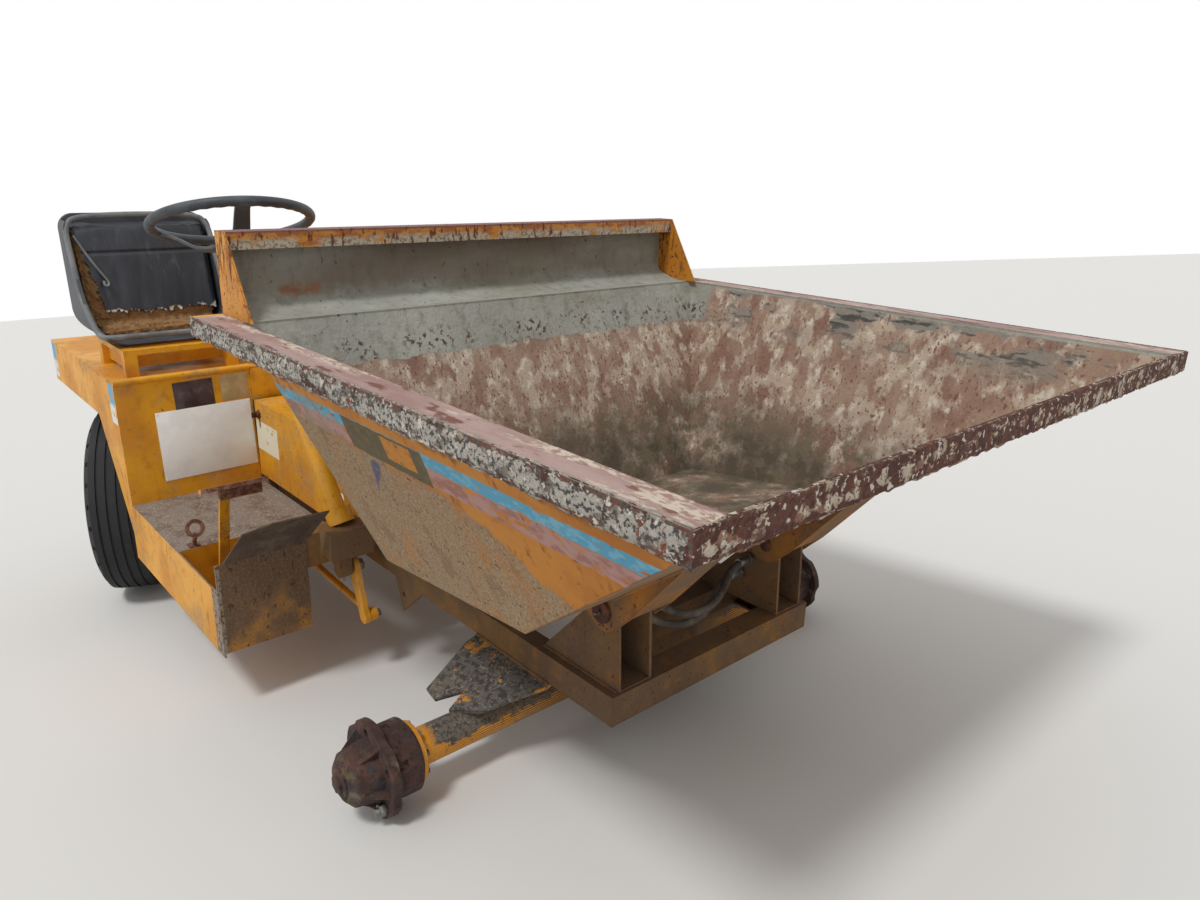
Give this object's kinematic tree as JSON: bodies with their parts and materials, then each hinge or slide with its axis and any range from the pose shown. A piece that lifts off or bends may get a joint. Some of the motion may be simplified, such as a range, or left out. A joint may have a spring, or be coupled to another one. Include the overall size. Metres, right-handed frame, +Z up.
{
  "type": "site dumper",
  "caption": "Small rigid site dumper with forward-tipping skip, side-mounted seat and rear-wheel steering, worn and rusty, standing on its front hubs.",
  "frame": {"origin": "middle of the bounding box in plan, at the floor under the rear tyres and front hub flanges", "axes": "+X forward towards the skip's lip, +Y to the driver's left, +Z up"},
  "size_m": [3.225, 1.6654, 1.2981],
  "materials": {
    "yellow_paint": "worn matt",
    "dark_steel": "rusty",
    "frame_paint": "dusty",
    "tyre_rubber": "bald",
    "black_vinyl": "cracked",
    "black_plastic": "matt",
    "rod_chrome": "polished",
    "hose_rubber": "matt",
    "engine_metal": "oily"
  },
  "bodies": {
    "chassis": {"chassis_frame": "frame_paint", "front_axle": "yellow_paint", "rear_axle_beam": "frame_paint", "axle_hanger": "frame_paint", "steering_box": "frame_paint", "steering_column": "frame_paint", "steering_wheel": "black_plastic", "pedals": "dark_steel", "decks": "yellow_paint", "consoles": "yellow_paint", "footwell": "yellow_paint", "toe_flap": "dark_steel", "centre_cover": "yellow_paint", "engine_block": "engine_metal", "rear_plate": "yellow_paint", "hydraulic_tank": "yellow_paint", "seat_frame": "yellow_paint", "seat_shell": "black_vinyl", "seat_cushion": "black_vinyl", "tip_hoses": "hose_rubber", "uprights": "frame_paint", "skip_rests": "frame_paint", "axle_gussets": "frame_paint"},
    "skip": {"skip_tub": "yellow_paint", "skip_rim": "yellow_paint", "skip_back_plate": "yellow_paint", "skip_ram_bracket": "yellow_paint", "skip_cheeks": "yellow_paint", "skip_pivot_brackets": "yellow_paint", "skip_pivot_pins": "dark_steel"},
    "ram_barrel": {"ram_barrel": "frame_paint"},
    "ram_rod": {"ram_rod": "rod_chrome"},
    "front_hub_R": {"front_hub_R": "dark_steel"},
    "front_hub_L": {"front_hub_L": "dark_steel"},
    "knuckle_R": {"knuckle_R": "dark_steel"},
    "knuckle_L": {"knuckle_L": "dark_steel"},
    "tie_rod": {"rear_tie_rod": "dark_steel"},
    "rear_wheel_R": {"rear_rim_R": "frame_paint", "rear_tyre_R": "tyre_rubber"},
    "rear_wheel_L": {"rear_rim_L": "frame_paint", "rear_tyre_L": "tyre_rubber"},
    "drop_arm": {"drop_arm": "dark_steel"},
    "drag_link": {"drag_link": "dark_steel"},
    "drive_shaft": {"drive_shaft": "dark_steel"},
    "engine_cover": {"engine_cover": "yellow_paint"}
  },
  "joints": [
    {"name": "tip", "type": "hinge", "parent": "chassis", "child": "skip", "pos_m": [0.95294, 0, 0.40821], "axis": [0, 1, 0], "range_deg": [0, 60]},
    {"name": "ram_swing", "type": "hinge", "parent": "chassis", "child": "ram_barrel", "pos_m": [0.18376, 0, 0.23285], "axis": [0, -1, 0], "range_deg": [-0.1, 15.61]},
    {"name": "ram_slide", "type": "slide", "parent": "ram_barrel", "child": "ram_rod", "axis": [0.9418, 0, 0.3363], "range_m": [-0.0005, 0.2478]},
    {"name": "front_hub_R_spin", "type": "hinge", "parent": "chassis", "child": "front_hub_R", "pos_m": [0.65161, -0.683, 0.10474], "axis": [0, 1, 0], "continuous": true},
    {"name": "front_hub_L_spin", "type": "hinge", "parent": "chassis", "child": "front_hub_L", "pos_m": [0.65161, 0.683, 0.10474], "axis": [0, 1, 0], "continuous": true},
    {"name": "steer", "type": "hinge", "parent": "chassis", "child": "knuckle_R", "pos_m": [-1.14881, -0.515, 0.32631], "axis": [0.1221, 0, 0.9925], "range_deg": [-6, 54]},
    {"name": "steer_left", "type": "hinge", "parent": "chassis", "child": "knuckle_L", "pos_m": [-1.14881, 0.515, 0.32631], "axis": [0.1221, 0, 0.9925], "range_deg": [-6.1, 54.1]},
    {"name": "tie_rod_turn", "type": "hinge", "parent": "knuckle_R", "child": "tie_rod", "pos_m": [-1.25929, -0.47026, 0.25124], "axis": [0.1221, 0, 0.9925], "range_deg": [-54.1, 6.1]},
    {"name": "rear_wheel_R_spin", "type": "hinge", "parent": "knuckle_R", "child": "rear_wheel_R", "pos_m": [-1.2033, -0.63833, 0.33302], "axis": [0.4037, 0.9135, -0.0497], "continuous": true},
    {"name": "rear_wheel_L_spin", "type": "hinge", "parent": "knuckle_L", "child": "rear_wheel_L", "pos_m": [-1.09431, 0.63833, 0.3196], "axis": [0.4037, 0.9135, -0.0497], "continuous": true},
    {"name": "drop_arm_swing", "type": "hinge", "parent": "chassis", "child": "drop_arm", "pos_m": [0.04593, -0.405, 0.30825], "axis": [0, 1, 0], "range_deg": [-4.96, 43.87]},
    {"name": "drag_link_turn", "type": "hinge", "parent": "drop_arm", "child": "drag_link", "pos_m": [0.07624, -0.385, 0.17157], "axis": [0, 1, 0], "range_deg": [-43.87, 4.96]},
    {"name": "drive_shaft_spin", "type": "hinge", "parent": "chassis", "child": "drive_shaft", "pos_m": [-0.70584, 0.12, 0.50353], "axis": [0.9563, 0, -0.2925], "continuous": true},
    {"name": "engine_cover_hinge", "type": "hinge", "parent": "chassis", "child": "engine_cover", "pos_m": [-1.47822, 0, 0.89984], "axis": [0, -1, 0], "range_deg": [0, 70]}
  ],
  "couplings": [
    {"joint": "ram_swing", "follows": "tip", "ratio": 0.25176},
    {"joint": "ram_slide", "follows": "tip", "m_per_rad": 0.23569},
    {"joint": "steer_left", "follows": "steer", "ratio": 1},
    {"joint": "tie_rod_turn", "follows": "steer", "ratio": -1},
    {"joint": "drop_arm_swing", "follows": "steer", "ratio": 0.81052},
    {"joint": "drag_link_turn", "follows": "steer", "ratio": -0.81052}
  ]
}
